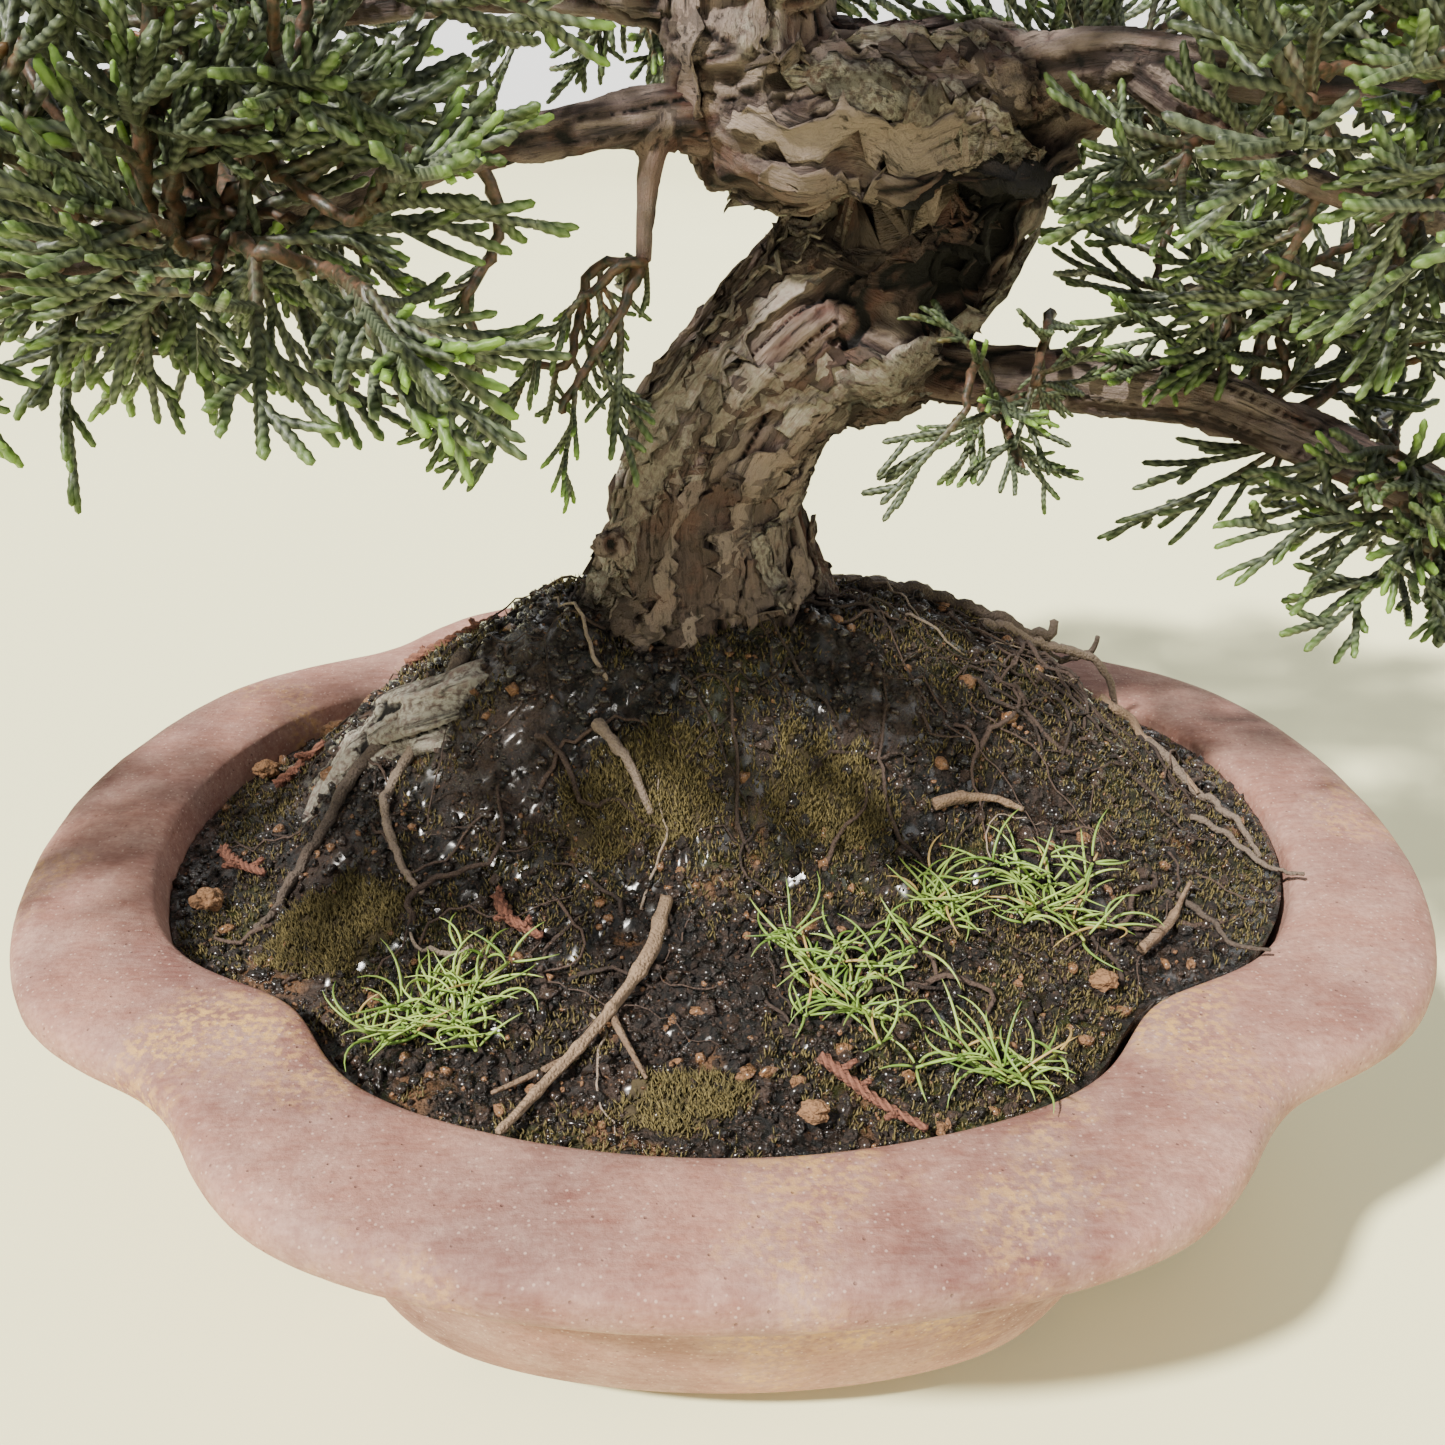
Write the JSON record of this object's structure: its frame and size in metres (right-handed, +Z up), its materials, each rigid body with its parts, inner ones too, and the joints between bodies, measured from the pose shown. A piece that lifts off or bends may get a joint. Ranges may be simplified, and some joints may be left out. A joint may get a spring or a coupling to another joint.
{
  "type": "bonsai tree in a pot",
  "caption": "Juniper bonsai with a leaning, doubled-back trunk and layered foliage pads, rooted in a mossy soil mound in a four-lobed unglazed clay pot.",
  "frame": {"origin": "middle of the pot's footprint, on the surface that its feet stand on", "axes": "+X along the pot's long side to the viewer's right, +Y away from the viewing side, +Z up"},
  "size_m": [0.472, 0.264, 0.352],
  "materials": {
    "clay": "matt unglazed reddish-brown stoneware, fine grained, with pale mineral bloom and ochre stains",
    "soil": "wet black-brown granular potting soil",
    "bark": "flaking grey-brown juniper bark peeling in long strips",
    "foliage": "dark green whipcord scale leaves with yellow-green tips",
    "moss": "dull olive moss",
    "weed": "fresh yellow-green needle-thin leaves",
    "dead_wood": "weathered pale brown twigs",
    "dead_shoot": "dead rust-coloured scale-leaf shoots",
    "grit": "rough brown grit",
    "screen_plastic": "dark plastic mesh",
    "wire": "copper-coloured anodised training wire"
  },
  "bodies": {
    "root": {"dead_shoot_back": "dead_shoot", "dead_shoot_left": "dead_shoot", "dead_shoot_middle": "dead_shoot", "dead_shoot_outer": "dead_shoot", "drainage_screen_left": "screen_plastic", "drainage_screen_right": "screen_plastic", "foliage_apex": "foliage", "foliage_back": "foliage", "foliage_left_back": "foliage", "foliage_left_front": "foliage", "foliage_left_hanging": "foliage", "foliage_left_inner": "foliage", "foliage_left_middle": "foliage", "foliage_left_outer": "foliage", "foliage_left_upper": "foliage", "foliage_right_back": "foliage", "foliage_right_behind": "foliage", "foliage_right_front": "foliage", "foliage_right_inner": "foliage", "foliage_right_low": "foliage", "foliage_right_middle": "foliage", "foliage_right_outer": "foliage", "foliage_right_tip": "foliage", "foliage_upper_back": "foliage", "foliage_upper_front": "foliage", "foliage_upper_left": "foliage", "foliage_upper_right": "foliage", "grit_stone_1": "grit", "grit_stone_2": "grit", "grit_stone_3": "grit", "grit_stone_4": "grit", "grit_stone_5": "grit", "moss_back": "moss", "moss_centre": "moss", "moss_front": "moss", "moss_left": "moss", "moss_right": "moss", "moss_right_back": "moss", "pearlwort_front": "weed", "pearlwort_front_right": "weed", "pearlwort_left": "weed", "pearlwort_middle": "weed", "pearlwort_right": "weed", "pot": "clay", "screen_staple_left": "wire", "screen_staple_right": "wire", "soil": "soil", "trunk_and_branches": "bark", "twig_orange": "dead_wood", "twig_pale_forked": "dead_wood", "twig_red": "dead_shoot", "twig_right": "dead_wood", "twig_short": "dead_wood"}
  },
  "joints": []
}
